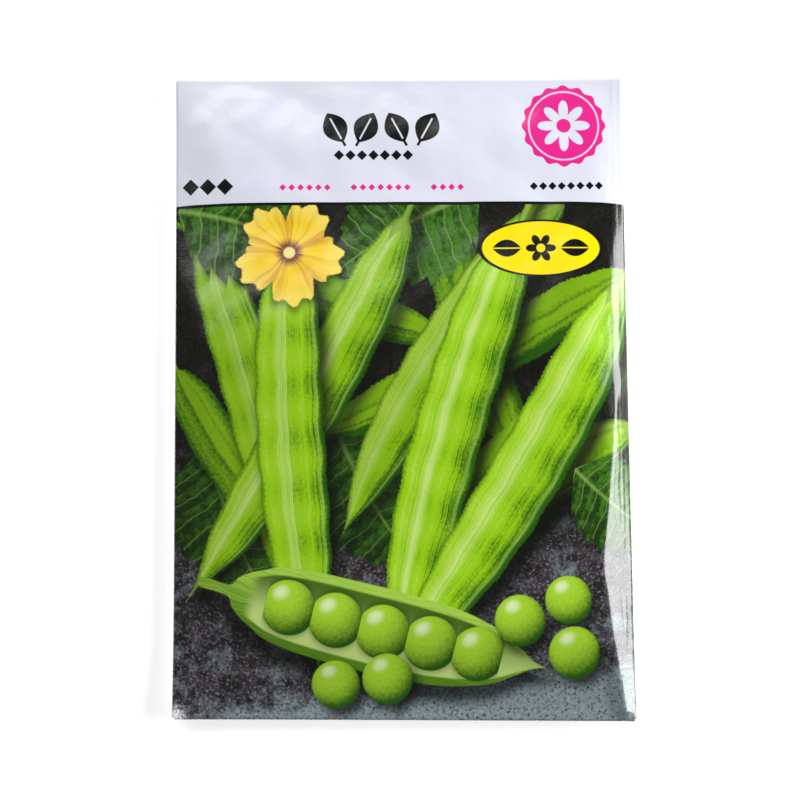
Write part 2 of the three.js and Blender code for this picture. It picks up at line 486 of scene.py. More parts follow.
def glue_mesh(low, high, steps, height, level):
    """A strip of glue in the middle of a lap, over the region from low to high"""
    bm = ruled_grid(steps[0] + 1, steps[1] + 1)
    for vert in bm.verts:
        x = lerp(low[0], high[0], vert.co.x / steps[0])
        y = lerp(low[1], high[1], vert.co.y / steps[1])
        vert.co = (x, out_of_square(x, y), height(x, y) + level)
    bmesh.ops.solidify(bm, geom=bm.faces[:], thickness=GLUE)
    bmesh.ops.translate(bm, vec=(0, 0, -GLUE / 2), verts=bm.verts)
    bmesh.ops.recalc_face_normals(bm, faces=bm.faces)
    return bm


def seed_mesh(centre, radius, draw):
    """A round seed with a blunt hilum, a dimple beside it and an uneven coat"""
    bm = bmesh.new()
    bmesh.ops.create_uvsphere(bm, u_segments=24, v_segments=16, radius=radius)
    phase = draw.random() * math.tau
    hilum, depth, unevenness = 0.1, 0.05, 0.012
    dimple = Vector((0.3, 0, 0.95))
    for vert in bm.verts:
        way = vert.co.normalized()
        tip = hilum * clamp(way.z) ** 4 - depth * bell((way - dimple).length, 0.25)
        coat = unevenness * math.sin(9 * way.x + phase) * math.sin(8 * way.y) * math.sin(7 * way.z)
        vert.co = way * radius * (1 + tip + coat)
    tilt = math.pi / 2 + draw.uniform(-1, 1) * math.pi / 4
    turn = Euler((tilt, 0, draw.random() * math.tau), "XYZ").to_matrix().to_4x4()
    bmesh.ops.transform(bm, matrix=Matrix.Translation(centre) @ turn, verts=bm.verts)
    for face in bm.faces:
        face.smooth = True
    return bm


# Shader arithmetic


class Wire:
    """A socket that takes part in arithmetic with other sockets and with numbers"""

    def __init__(self, paint, socket):
        self.paint = paint
        self.socket = socket

    def __add__(self, other):
        return self.paint.maths("ADD", self, other)

    def __radd__(self, other):
        return self.paint.maths("ADD", other, self)

    def __sub__(self, other):
        return self.paint.maths("SUBTRACT", self, other)

    def __rsub__(self, other):
        return self.paint.maths("SUBTRACT", other, self)

    def __mul__(self, other):
        return self.paint.maths("MULTIPLY", self, other)

    def __rmul__(self, other):
        return self.paint.maths("MULTIPLY", other, self)

    def __truediv__(self, other):
        return self.paint.maths("DIVIDE", self, other)

    def __rtruediv__(self, other):
        return self.paint.maths("DIVIDE", other, self)


class Paint:
    """The nodes of a material or a group, made one expression at a time"""

    def __init__(self, tree):
        self.tree = tree

    def add(self, kind, inputs, curve=(), **settings):
        """Adds a node, sets it up and fills its sockets by name or number"""
        made = self.tree.nodes.new(kind)
        for name, value in settings.items():
            setattr(made, name, value)
        if curve:
            points = made.mapping.curves[0].points
            points[0].location, points[1].location = curve[:2]
            for place in curve[2:]:
                points.new(*place)
            made.mapping.update()
        self.fill(made, inputs)
        return made

    def fill(self, made, inputs):
        for key, value in inputs.items():
            socket = made.inputs[key]
            if isinstance(value, Wire):
                self.tree.links.new(value.socket, socket)
            else:
                socket.default_value = (*value, 1.0) if socket.type == "RGBA" else value

    def node(self, kind, inputs, output=0, **settings):
        """Adds a node and gives one of its outputs"""
        return Wire(self, self.add(kind, inputs, **settings).outputs[output])

    def maths(self, operation, *values):
        return self.node("ShaderNodeMath", dict(enumerate(values)), operation=operation)

    def vector(self, operation, *values):
        output = 1 if operation in ("DISTANCE", "DOT_PRODUCT") else 0
        return self.node("ShaderNodeVectorMath", dict(enumerate(values)), output, operation=operation)

    def weigh(self, start, *terms):
        """A number plus every weight and value pair's product"""
        for weight, value in terms:
            start = self.maths("MULTIPLY_ADD", value, weight, start)
        return start

    def least(self, first, last):
        return self.maths("MINIMUM", first, last)

    def most(self, first, last):
        return self.maths("MAXIMUM", first, last)

    def size(self, value):
        return self.maths("ABSOLUTE", value)

    def root(self, value):
        """The square root, or 0 of a negative value"""
        return self.maths("SQRT", value)

    def far(self, east, north):
        """How far away two steps at right angles lead"""
        return self.root(self.weigh(east * east, (north, north)))

    def wave(self, angle):
        return self.maths("COSINE", angle)

    def part(self, value):
        return self.maths("FRACT", value)

    def soft(self, value, low, high):
        """0 at low and 1 at high, smooth between them. low may be the higher one."""
        inputs = {0: value, 1: low, 2: high}
        return self.node("ShaderNodeMapRange", inputs, interpolation_type="SMOOTHSTEP", clamp=False)

    def inside(self, distance, blur):
        """1 where a signed distance is positive, with an edge as soft as the blur"""
        return self.soft(distance, -blur, blur)

    def hump(self, value, middle, width):
        """1 at the middle, falling to 0 a width away"""
        return self.soft(self.size(value - middle), width, 0.0)

    def mix(self, share, first, last):
        return self.node("ShaderNodeMix", {0: share, 6: first, 7: last}, 2, data_type="RGBA")

    def noise(self, place, scale, detail, roughness, dimensions="3D"):
        inputs = {"Vector": place, "Scale": scale, "Detail": detail, "Roughness": roughness}
        return self.node("ShaderNodeTexNoise", inputs, noise_dimensions=dimensions)

    def streaks(self, across, scale, detail=2.0):
        """Noise that is the same wherever across is the same"""
        inputs = {"W": across, "Scale": scale, "Detail": detail, "Roughness": 0.6}
        return self.node("ShaderNodeTexNoise", inputs, noise_dimensions="1D")

    def cells(self, place, scale, feature="F1", dimensions="3D"):
        inputs = {"Vector": place, "Scale": scale}
        return self.node("ShaderNodeTexVoronoi", inputs, feature=feature, voronoi_dimensions=dimensions)

    def profile(self, value, points):
        """A smooth curve through points from (0, ...) to (1, ...), which goes straight on past both"""
        return self.node("ShaderNodeFloatCurve", {1: value}, curve=points)

    def bumped(self, height, distance, strength=1.0):
        return self.node("ShaderNodeBump", {"Height": height, "Distance": distance, "Strength": strength})


class Finish(Paint):
    """A material and its surface shader"""

    def __init__(self, name):
        self.material = bpy.data.materials.new(name)
        self.material.use_nodes = True
        super().__init__(self.material.node_tree)

    def surface(self, **inputs):
        shader = self.tree.nodes["Principled BSDF"]
        self.fill(shader, {name.replace("_", " "): value for name, value in inputs.items()})
        return self.material

    def object_place(self):
        return self.node("ShaderNodeTexCoord", {}, 3)


# The print. Places and sizes are millimetres from the middle of the front.

LIGHT_WAY = math.radians(118)
POD_OUTLINE = (
    (0.0, 0.0),
    (0.012, 0.12),
    (0.085, 0.12),
    (0.11, 0.34),
    (0.17, 0.66),
    (0.27, 0.93),
    (0.42, 1.0),
    (0.66, 0.97),
    (0.83, 0.72),
    (0.93, 0.30),
    (0.97, 0.09),
    (1.0, 0.0),
)
LEAF_OUTLINE = ((0.0, 0.0), (0.06, 0.30), (0.25, 0.86), (0.42, 1.0), (0.65, 0.80), (0.87, 0.36), (1.0, 0.0))

# From the back to the front: what it is, where its stem starts or its middle is, its direction
# in degrees, its length, half width, bow and nearness
PLANTS = (
    ("leaf", -12.0, -6.0, -60, 30, 11.0, 0.1, 0.5),
    ("leaf", -34.0, -8.0, -70, 30, 11.0, 0.15, 0.6),
    ("far_pod", -41.0, 31.0, -24, 56, 4.4, 0.4, 0.25),
    ("far_pod", 6.0, 41.0, -74, 60, 4.7, 0.5, 0.2),
    ("far_pod", 46.0, 25.0, -152, 72, 4.8, -0.4, 0.25),
    ("far_pod", 47.0, 9.0, -140, 62, 4.8, 0.4, 0.4),
    ("far_pod", -42.0, 8.0, -56, 46, 4.4, 0.4, 0.3),
    ("leaf", 14.0, 36.0, -150, 30, 12.0, 0.12, 0.9),
    ("pod", 34.0, 41.0, -124, 80, 5.2, 0.6, 0.55),
    ("pod", -39.0, 37.0, -75, 84, 5.2, -0.5, 0.6),
    ("pod", 4.0, 39.0, -119, 86, 5.4, -0.5, 0.7),
    ("pod", 46.0, -4.0, -146, 56, 5.0, 0.5, 0.65),
    ("leaf", -40.0, 33.0, -20, 30, 11.0, -0.15, 1.0),
    ("pod", 25.0, 38.0, -107, 92, 6.0, 0.5, 1.0),
    ("pod", -19.0, 35.0, -87, 84, 5.9, 0.5, 0.9),
    ("pod", 43.0, 27.0, -121, 88, 6.1, -0.5, 1.0),
    ("leaf", 30.0, -14.0, -35, 22, 8.0, 0.15, 0.8),
    ("open_pod", -36.0, -33.0, -14, 62, 7.4, 0.12, 1.0),
    ("pea", 20.0, -40.0, 0, 4.4, 4.4, 0.0, 1.0),
    ("pea", 28.5, -36.5, 0, 4.1, 4.1, 0.0, 1.0),
    ("pea", 29.5, -45.5, 0, 4.5, 4.5, 0.0, 1.0),
    ("pea", -12.0, -51.0, 0, 4.2, 4.2, 0.0, 1.0),
    ("pea", -3.0, -50.0, 0, 4.4, 4.4, 0.0, 1.0),
)
PEA_PITCH = 9.2
LEAF_TEETH = 9.0

SHADOW = linear(10, 14, 6)
PEA_SHADE = linear(36, 84, 4)
PEA_SKIN = linear(166, 212, 48)
PEA_GLINT = linear(242, 250, 212)
FAR_SHADE = linear(20, 34, 6)
POD_GLEAM = linear(196, 226, 92)
POD_RIM = linear(30, 66, 6)
POD_SEAM = linear(190, 220, 110)
POD_GLOSS = linear(226, 240, 170)
CAP_SHADE = linear(50, 86, 14)
CAP_SKIN = linear(132, 168, 62)
LEAF_VEIN = linear(158, 196, 96)
LEAF_SHADE = linear(14, 22, 8)
SHELL_SHADE = linear(86, 132, 22)
SHELL_SKIN = linear(166, 208, 76)
LINING_SHADE = linear(72, 108, 22)
LINING_SKIN = linear(196, 222, 128)
STONE_DARK = linear(36, 31, 31)
STONE_GREY = linear(90, 84, 90)
STONE_PIT = linear(34, 32, 36)
STONE_FLECK = linear(160, 164, 176)
STONE_SPECK = linear(30, 26, 26)
GROUND_SHADE = linear(18, 17, 8)
PETAL_SHADE = linear(206, 140, 10)
PETAL_RIM = linear(255, 240, 132)
THROAT = linear(120, 34, 30)
STAMENS = linear(246, 226, 130)


def darker(colour, share):
    return tuple(share * channel for channel in colour)


class Printed(Paint):
    """Nodes that print over a picture"""

    colour = None

    def lay(self, mask, colour):
        """Prints a colour over the picture so far"""
        self.colour = self.mix(mask, self.colour, colour)

    def shade(self, mask, strength):
        """Lets a shadow fall on the picture so far"""
        self.lay(mask * strength, SHADOW)


class Motif(Printed):
    """A group of nodes that prints one thing wherever it is asked to"""

    TEXTURES = ("Grain", "Cloud", "Fuzz", "Blade", "Net")
    MEASURES = ("Along", "Across", "Bow", "Half", "Length", "Nearness", "Light across", "Light along")

    def __init__(self, settings):
        super().__init__(bpy.data.node_groups.new(self.NAME, "ShaderNodeTree"))
        self.tree.interface.new_socket("Picture", in_out="INPUT", socket_type="NodeSocketColor")
        for name in self.TEXTURES + self.MEASURES:
            self.tree.interface.new_socket(name, in_out="INPUT", socket_type="NodeSocketFloat")
        self.tree.interface.new_socket("Picture", in_out="OUTPUT", socket_type="NodeSocketColor")
        self.given = {socket.name: Wire(self, socket) for socket in self.add("NodeGroupInput", {}).outputs}
        self.colour = self.given["Picture"]
        self.along, self.across, self.half = (self.given[name] for name in ("Along", "Across", "Half"))
        self.grain, self.cloud = self.given["Grain"], self.given["Cloud"]
        self.paint(settings)
        self.add("NodeGroupOutput", {"Picture": self.colour})

    def bent(self):
        """The distance from a bowed middle line, in half widths"""
        return self.weigh(self.across, (4 * self.given["Bow"], self.along * (1 - self.along)))

    def towards_light(self, along, across):
        return self.weigh(self.given["Light along"] * along, (self.given["Light across"], across))

    def ball(self, along, across, away, mask):
        """A pea, with places on it in radii from its middle"""
        lit = self.weigh(0.72 * self.root(1 - away * away), (0.62, self.towards_light(along, across)))
        mottled = self.weigh(lit, (0.5, self.grain), (0.2, self.cloud))
        skin = self.mix(self.soft(mottled, 0.1, 1.3), PEA_SHADE, PEA_SKIN)
        self.lay(mask, self.mix(self.soft(lit, 0.86, 0.99) * 0.85, skin, PEA_GLINT))


class FarPodMotif(Motif):
    """A closed pod from its stem to its beak, in the shade of nearer ones"""

    NAME = "far_pod"

    def outline(self):
        """Works out where on the pod a place is, and lets the pod's shadow fall"""
        given = self.given
        bent = self.bent()
        self.count = self.along * (given["Length"] * (math.tau / PEA_PITCH))
        self.swell = self.wave(self.count)
        wide = self.profile(self.along, POD_OUTLINE) * self.weigh(1.0, (0.024, self.swell))
        self.reach = self.weigh(given["Fuzz"], (self.half, wide - self.size(bent)))
        fallen = wide - self.size(bent + 0.42 * given["Light across"])
        self.shade(self.soft(fallen, -0.42, 0.18), 0.45 + 0.5 * given["Nearness"])
        self.side = bent / self.most(wide, 0.08)
        self.dome = self.root(1 - self.side * self.side)

    def finish(self, skin):
        """Prints the skin, darker and softer the farther away the pod is"""
        near = self.given["Nearness"]
        skin = self.mix(0.5 - 0.5 * near, skin, FAR_SHADE)
        self.lay(self.soft(self.reach, -0.22 + 0.1 * near, 0.2 - 0.08 * near), skin)

    def paint(self, settings):
        self.outline()
        turned = (0.36 * self.given["Light across"], self.side)
        veins = self.streaks(self.weigh(self.side, (0.2, self.cloud)), 2.6, 1.0)
        lit = self.weigh(veins, (0.5, self.dome), turned, (0.5, self.grain))
        self.finish(self.mix(self.soft(lit, 0.82, 1.38), settings.pod_dark, settings.pod_light))


class PodMotif(FarPodMotif):
    """A closed pod seen close, with the swellings of its peas, its seam, its cap and its gloss"""

    NAME = "pod"

    def paint(self, settings):
        self.outline()
        given, side, dome = self.given, self.side, self.dome
        light_across = given["Light across"]
        slope = self.wave(self.count + math.pi / 2)
        veins = self.streaks(self.weigh(side + given["Length"], (0.2, self.cloud)), 2.3)
        fine = self.streaks(self.weigh(side - given["Length"], (0.12, self.cloud)), 24.0, 1.0)
        bulge = self.weigh(0.5, (0.05, self.swell), (0.13 * given["Light along"], slope))
        turned = (0.44 * light_across, side)
        lit = self.weigh(-0.84, (bulge, dome), turned, (0.84, veins), (0.5, fine), (0.4, self.grain))
        skin = self.mix(self.soft(lit, -0.06, 0.5), settings.pod_dark, settings.pod_light)
        skin = self.mix(self.soft(lit, 0.5, 0.95) * 0.7, skin, POD_GLEAM)
        skin = self.mix(self.soft(self.reach, 0.9, 0.0) * 0.6, skin, POD_RIM)
        seam = self.hump(side + 0.8 * self.maths("SIGN", light_across), 0.0, 0.08)
        skin = self.mix(seam * 0.35, skin, POD_SEAM)
        gloss = self.hump(self.weigh(side - 0.4 * light_across, (0.02, slope)), 0.0, 0.36)
        skin = self.mix(gloss * self.soft(veins + fine, 0.8, 1.25) * 0.5, skin, POD_GLOSS)
        cap = self.soft(self.along + 0.03 * self.size(self.wave(side * 4.2)), 0.165, 0.15)
        self.finish(self.mix(cap * 0.75, skin, self.mix(dome, CAP_SHADE, CAP_SKIN)))


class LeafMotif(Motif):
    """A toothed leaf with a midrib and side veins"""

    NAME = "leaf"

    def paint(self, settings):
        given, along, leaf = self.given, self.along, settings.leaf
        bent = self.bent()
        out = self.size(bent)
        tooth = self.part(along * LEAF_TEETH - out * 0.9)
        reach = (self.profile(along, LEAF_OUTLINE) * (0.88 + 0.18 * tooth) - out) * self.half
        self.shade(self.soft(reach, -1.6, 0.6), 0.6)
        ribs = self.part(along * LEAF_TEETH - out * 1.3 + 0.5 * out * out + 0.7 * self.cloud)
        lit = self.weigh(given["Blade"], (0.2, bent), (-0.2, self.soft(ribs, 0.0, 1.0)))
        tone = self.mix(self.soft(lit, 0.16, 0.62), darker(leaf, 0.2), leaf)
        tone = self.mix(given["Net"] * 0.35, tone, darker(leaf, 0.3))
        tone = self.mix(self.hump(ribs, 0.5, 0.07) * 0.4, tone, LEAF_VEIN)
        tone = self.mix(self.hump(bent / (1.15 - along), 0.0, 0.07) * 0.55, tone, LEAF_VEIN)
        self.lay(self.inside(reach, 0.2), self.mix(1 - given["Nearness"], tone, LEAF_SHADE))


class PeaMotif(Motif):
    """A loose pea. Its coordinates are radii from its middle."""

    NAME = "pea"

    def paint(self, settings):
        away = self.far(self.along, self.across)
        fallen = self.far(self.along - 1.1 / self.half, self.across + 1.3 / self.half)
        self.shade(self.soft(fallen, 1.35, 0.7), 0.85)
        self.ball(self.along, self.across, away, self.inside(self.half * (1 - away), 0.16))


class OpenPodMotif(Motif):
    """A pod split along its seam, with its peas in a row"""

    NAME = "open_pod"
    PEAS = 5
    PEA_SIZE = 0.64
    FIRST_PEA = 0.2
    LAST_PEA = 0.88

    def paint(self, settings):
        along, bent, half = self.along, self.bent(), self.half
        outline = self.profile(along, POD_OUTLINE)
        self.shade(self.soft((outline - self.size(bent + 0.3)) * half, -2.6, 0.8), 0.85)
        fine = self.streaks(bent + 0.25 * self.cloud, 16.0)
        shell = self.mix(self.soft(bent + 2 * fine, 0.2, 1.9), SHELL_SHADE, SHELL_SKIN)
        self.lay(self.inside((outline - self.size(bent)) * half, 0.16), shell)
        opened = self.inside((outline * 0.78 - self.size(bent)) * half, 0.25) * self.soft(along, 0.14, 0.18)
        self.lay(opened, self.mix(self.soft(bent, 0.7, -0.5), LINING_SHADE, LINING_SKIN))

        pitch = (self.LAST_PEA - self.FIRST_PEA) / self.PEAS
        number = (along - self.FIRST_PEA) / pitch
        radius = half * self.PEA_SIZE
        forth = (self.part(number) - 0.5) * pitch * self.given["Length"] / radius
        side = bent / self.PEA_SIZE
        away = self.far(forth, side)
        in_row = self.soft(number, 0.0, 0.02) * self.soft(number, self.PEAS, self.PEAS - 0.02)
        self.shade(self.soft(away, 1.3, 0.8) * in_row * opened, 0.7)
        self.ball(forth, side, away, self.inside(radius * (1 - away), 0.14) * in_row)


MOTIFS = (FarPodMotif, PodMotif, LeafMotif, PeaMotif, OpenPodMotif)


class Picture(Printed):
    """The print of one side, painted from the back to the front. A place on it is (x, y, 1)."""

    def __init__(self, name, settings, middle=0.0):
        self.finish = Finish(name)
        super().__init__(self.finish.tree)
        self.settings = settings
        self.flat = self.node("ShaderNodeUVMap", {}, uv_map="print")
        units = (PRINT_UNIT, PRINT_UNIT, 0.0)
        self.place = self.vector("MULTIPLY_ADD", self.flat, units, (-middle, 0.0, 1.0))
        self.grain = self.mottle(170.0, 3.0, 0.65)
        self.cloud = self.mottle(16.0, 2.0, 0.5)
        self.x = self.measure((1.0, 0.0, 0.0))
        self.y = self.measure((0.0, 1.0, 0.0))

    def mottle(self, scale, detail, roughness):
        return self.noise(self.flat, scale, detail, roughness, "2D")

    def measure(self, factors):
        return self.vector("DOT_PRODUCT", self.place, factors)

    def around(self, x, y):
        """Coordinates from a point, with the way from it and the angle round it"""
        east, north = self.measure((1.0, 0.0, -x)), self.measure((0.0, 1.0, -y))
        return east, north, self.far(east, north), self.maths("ARCTAN2", north, east)

    def stamp(self, motif, textures, x, y, degrees, length, half, bow, near):
        """Prints a motif in the size and direction of its row in the table"""
        turn = math.radians(degrees)
        along = Vector((math.cos(turn), math.sin(turn))) / length
        across = Vector((-math.sin(turn), math.cos(turn))) / half
        start = Vector((x, y))
        measures = {
            "Along": self.measure((*along, -along.dot(start))),
            "Across": self.measure((*across, -across.dot(start))),
            "Bow": bow,
            "Half": half,
            "Length": length,
            "Nearness": near,
            "Light across": math.sin(LIGHT_WAY - turn),
            "Light along": math.cos(LIGHT_WAY - turn),
        }
        inputs = {"Picture": self.colour, **textures, **measures}
        self.colour = self.node("ShaderNodeGroup", inputs, node_tree=motif.tree)

    def ground(self):
        """Weathered slate, with deep shade behind the pods"""
        rough = self.mottle(40.0, 6.0, 0.66)
        low = self.soft(self.y - 0.12 * self.x + 14 * self.cloud, -42.0, -52.0)
        pale = self.soft(self.weigh(0.8 * low, (1.0, self.cloud), (0.6, rough)), 0.78, 1.2)
        stone = self.mix(self.soft(rough, 0.34, 0.74), STONE_DARK, STONE_GREY)
        stone = self.mix(pale * 0.8, stone, self.settings.slate)
        pits = self.soft(self.cells(self.flat, 110.0, dimensions="2D"), 0.3, 0.12)
        stone = self.mix(0.7 * pits * self.soft(rough, 0.42, 0.56), stone, STONE_PIT)
        stone = self.mix(0.55 * self.soft(self.grain, 0.54, 0.74), stone, STONE_FLECK)
        stone = self.mix(0.6 * self.soft(self.grain, 0.5, 0.3), stone, STONE_SPECK)
        deep = self.soft(self.y + 14 * self.cloud + 0.12 * self.x, -24.0, -4.0)
        self.colour = self.mix(deep * 0.94, stone, GROUND_SHADE)

    def harvest(self):
        """Pods, leaves and peas on slate"""
        motifs = {kind.NAME: kind(self.settings) for kind in MOTIFS}
        textures = {
            "Grain": self.grain,
            "Cloud": self.cloud,
            "Fuzz": 0.7 * self.grain - 0.35,
            "Blade": self.mottle(70.0, 4.0, 0.7),
            "Net": self.soft(self.cells(self.flat, 78.0, "DISTANCE_TO_EDGE", "2D"), 0.16, 0.0),
        }
        self.ground()
        for name, *row in PLANTS:
            self.stamp(motifs[name], textures, *row)

    def flower(self, x, y, radius):
        """Five ruffled petals round a dark throat"""
        _, _, away, angle = self.around(x, y)
        petal = self.size(self.wave(angle * 2.5 + 0.5))
        ruffle = 0.06 * self.wave(angle * 17.0) + 0.08 * (self.grain - 0.5)
        edge = radius * (0.62 + 0.38 * self.root(petal) + ruffle)
        self.shade(self.soft(away - edge, 2.4, -0.4), 0.7)
        share = away / radius
        folds = self.streaks(angle + 0.3 * self.cloud, 5.0)
        tone = self.mix(self.soft(folds + 0.3 * petal, 0.3, 0.85), PETAL_SHADE, self.settings.blossom)
        tone = self.mix(self.soft(share, 0.55, 1.0) * 0.5, tone, PETAL_RIM)
        tone = self.mix(self.soft(share + 0.2 * folds, 0.42, 0.24), tone, THROAT)
        tone = self.mix(self.soft(share, 0.13, 0.09), tone, STAMENS)
        self.lay(self.inside(edge - away, 0.2), tone)

    def emblem(self, x, y, half_x, half_y):
        """Yellow oval with a dark rim and a small blossom and leaves in it"""
        ink = self.settings.ink
        east, north, away, angle = self.around(x, y)
        reach = (1 - self.far(east / half_x, north / half_y)) * half_y
        self.lay(self.inside(reach, 0.06), ink)
        self.lay(self.inside(reach - 0.36, 0.06), self.settings.oval)
        petals = 2.7 * (0.45 + 0.55 * self.size(self.wave(angle * 3.0)))
        self.lay(self.inside(petals - away, 0.07) * self.soft(away, 0.75, 0.85), ink)
        out = self.size(east) - 6.1
        leaves = 1.6 - out * out * 0.23
        rib = self.inside(self.size(north) - 0.12, 0.05)
        self.lay(self.inside(leaves - self.size(north), 0.07) * rib, ink)

    def in_row(self, number, first, last):
        """1 from one number to another"""
        half = (last - first) / 2
        return self.soft(self.size(number - (first + half)), half + 0.01, half - 0.01)

    def sprigs(self, left, count, middle, pitch, length):
        """A row of bold leaves, each the mirror image of the one before"""
        lean, half = math.radians(118), length / 2
        rise, run = math.sin(lean), math.cos(lean)
        east = self.maths("PINGPONG", self.x - left, pitch) - (pitch / 2 - half * run)
        north = self.y - (middle - half * rise)
        along = self.weigh(run / length * east, (rise / length, north))
        side = self.size(self.weigh(-rise * east, (run, north)))
        reach = 8.8 * along * (1 - along) - side
        rib = self.most(self.inside(side - 0.15, 0.05), self.soft(along, 0.78, 0.84))
        stem = self.inside(0.24 - side, 0.05) * self.soft(self.size(along), 0.13, 0.11)
        shown = self.most(self.inside(reach, 0.06) * rib, stem)
        self.lay(shown * self.in_row((self.x - left) / pitch, 0, count), self.settings.ink)

    def lozenges(self, left, count, middle, pitch, half, colour, *gaps):
        """A row of lozenges from its left end, without those that the gaps take up"""
        number = (self.x - left) / pitch
        offset = self.size(self.part(number) - 0.5) * pitch
        reach = half - offset - self.size(self.y - middle)
        shown = self.in_row(number, 0, count)
        for first, last in gaps:
            shown = shown * (1 - self.in_row(number, first, last))
        self.lay(self.inside(reach, 0.06) * shown, colour)

    def badge(self, x, y, radius):
        """A scalloped disc with a ring and a blossom left white"""
        magenta, white = self.settings.badge, self.settings.header
        _, _, away, angle = self.around(x, y)
        edge = radius * (0.965 + 0.035 * self.wave(angle * 16.0))
        self.lay(self.inside(edge - away, 0.06), magenta)
        self.lay(self.hump(away, radius * 0.83, 0.26), white)
        petal = radius * 0.62 * (0.42 + 0.58 * self.size(self.wave(angle * 4.0)))
        self.lay(self.inside(petal - away, 0.07), white)
        self.lay(self.inside(radius * 0.17 - away, 0.07), magenta)

    def header(self):
        """Pale band with a rule under it and generic ornaments on it"""
        ink = self.settings.ink
        over = self.y - RULE_Y + 0.5 * self.maths("POWER", self.size(self.x) * (2 / WIDTH), 6.0)
        self.lay(self.inside(over, 0.05), self.settings.header)
        self.lay(self.inside(RULE_HALF - self.size(over), 0.05), ink)
        self.sprigs(-14.5, 4, 48.0, 5.55, 6.2)
        self.lozenges(-12.1, 7, 42.9, 2.07, 0.95, ink)
        self.lozenges(-22.0, 21, 37.0, 1.6, 0.62, self.settings.badge, (6, 8), (15, 17))
        self.lozenges(-39.3, 3, 37.2, 3.1, 1.5, ink)
        self.lozenges(23.2, 8, 37.1, 1.675, 0.75, ink)
        self.badge(29.6, 48.2, 7.6)

    def growing_signs(self):
        """A thin frame, the signs of a sun, a drop and a sprout in rings, and ruled lines for notes"""
        inset = self.least(35.0 - self.size(self.x), 38.0 - self.size(self.y + 1.5))
        shown = self.hump(inset, 0.0, 0.5)

        row, apart = 22.0, 20.0
        for middle in (-apart, 0.0, apart):
            _, _, away, _ = self.around(middle, row)
            shown = self.most(shown, self.hump(away, 7.6, 0.4))

        _, _, away, angle = self.around(-apart, row)
        rays = self.inside(self.size(self.wave(angle * 4.0)) - 0.93, 0.03) * self.hump(away, 4.6, 1.2)
        shown = self.most(shown, self.most(rays, self.inside(2.6 - away, 0.07)))

        east, north, away, _ = self.around(0.0, row)
        below, above = self.least(north + 1.5, 0.0), self.most(north + 1.5, 0.0)
        shown = self.most(shown, self.inside(2.7 - 0.41 * above - self.far(east, below), 0.07))

        east, north, away, _ = self.around(apart, row)
        out = self.size(east)
        stem = self.inside(0.3 - out, 0.05) * self.soft(self.size(north + 2.0), 2.9, 2.8)
        leaves = 1.4 - (out - 2.6) * (out - 2.6) * 0.22 - self.size(north - 1.0 - 0.35 * out)
        shown = self.most(shown, self.most(stem, self.inside(leaves, 0.07)))

        pitch = 6.5
        line = self.size(self.part(self.y / pitch) - 0.5) * pitch
        span = self.soft(self.size(self.x), 29.1, 28.9) * self.soft(self.size(self.y + 13.0), 22.0, 21.8)
        shown = self.most(shown, self.inside(0.14 - line, 0.05) * span)
        self.lay(shown, self.settings.leaf)

    def wear(self):
        """White stock showing where corners and folds have rubbed"""
        side, end = WIDTH / 2, HEIGHT / 2
        inset = self.least(side - self.size(self.x), end - self.size(self.y))
        chips = self.mottle(220.0, 4.0, 0.7)
        corner = self.vector("DISTANCE", self.place, (-side, -end, 1.0))
        scuff = self.soft(corner + 5.0 * chips, 5.6, 3.4)
        rub = self.soft(inset + 1.2 * chips, 0.85, 0.45)
        self.lay(self.most(scuff, rub * 0.75), self.settings.stock)

    def coated(self):
        """Finishes the print as gloss-coated paper, with the fine creases that its folds left"""
        side = WIDTH / 2
        wander = self.mottle(5.0, 2.0, 0.5)
        near_fold = self.hump(self.x + 5.0 * wander, side - 0.4, 0.7) + self.hump(self.x, side - 1.7, 0.5)
        height = 0.25 * self.mottle(240.0, 3.0, 0.6) + self.mottle(22.0, 2.0, 0.5) + 0.3 * near_fold
        return self.finish.surface(
            Base_Color=self.colour,
            Roughness=0.13 + 0.1 * self.grain,
            Specular_IOR_Level=0.6,
            Normal=self.bumped(height, 0.00012, 0.5),
        )


def front_print(settings):
    picture = Picture("front_print", settings)
    picture.harvest()
    picture.flower(-20.0, 25.0, 9.5)
    picture.emblem(25.0, 25.6, 11.3, 5.3)
    picture.header()
    picture.wear()
    return picture.coated()


def back_print(settings):
    sheet = Sheet(settings.paper / MM)
    picture = Picture("back_print", settings, 2 * sheet.half_x + sheet.fold - BACK_SHORT / 2)
    picture.colour = settings.header
    picture.growing_signs()
    picture.wear()
    return picture.coated()


def bare_paper(settings):
    """Uncoated inside and cut edges"""
    paint = Finish("bare_paper")
    fibres = paint.noise(paint.object_place(), 2600.0, 4.0, 0.7)
    stock = settings.stock
    return paint.surface(
        Base_Color=paint.mix(paint.soft(fibres, 0.3, 0.7), darker(stock, 0.86), stock),
        Roughness=0.78 + 0.12 * fibres,
        Normal=paint.bumped(fibres, 0.00004),
    )


def dry_glue(settings):
    """Yellowish film with small bubbles"""
    paint = Finish("glue_film")
    place = paint.object_place()
    bubbles = paint.soft(paint.cells(place, 900.0), 0.15, 0.45)
    clouds = paint.noise(place, 240.0, 3.0, 0.6)
    glue = settings.glue
    return paint.surface(
        Base_Color=paint.mix(paint.soft(clouds, 0.3, 0.7), darker(glue, 0.7), glue),
        Roughness=0.3 + 0.25 * clouds,
        Normal=paint.bumped(bubbles, 0.00003),
    )


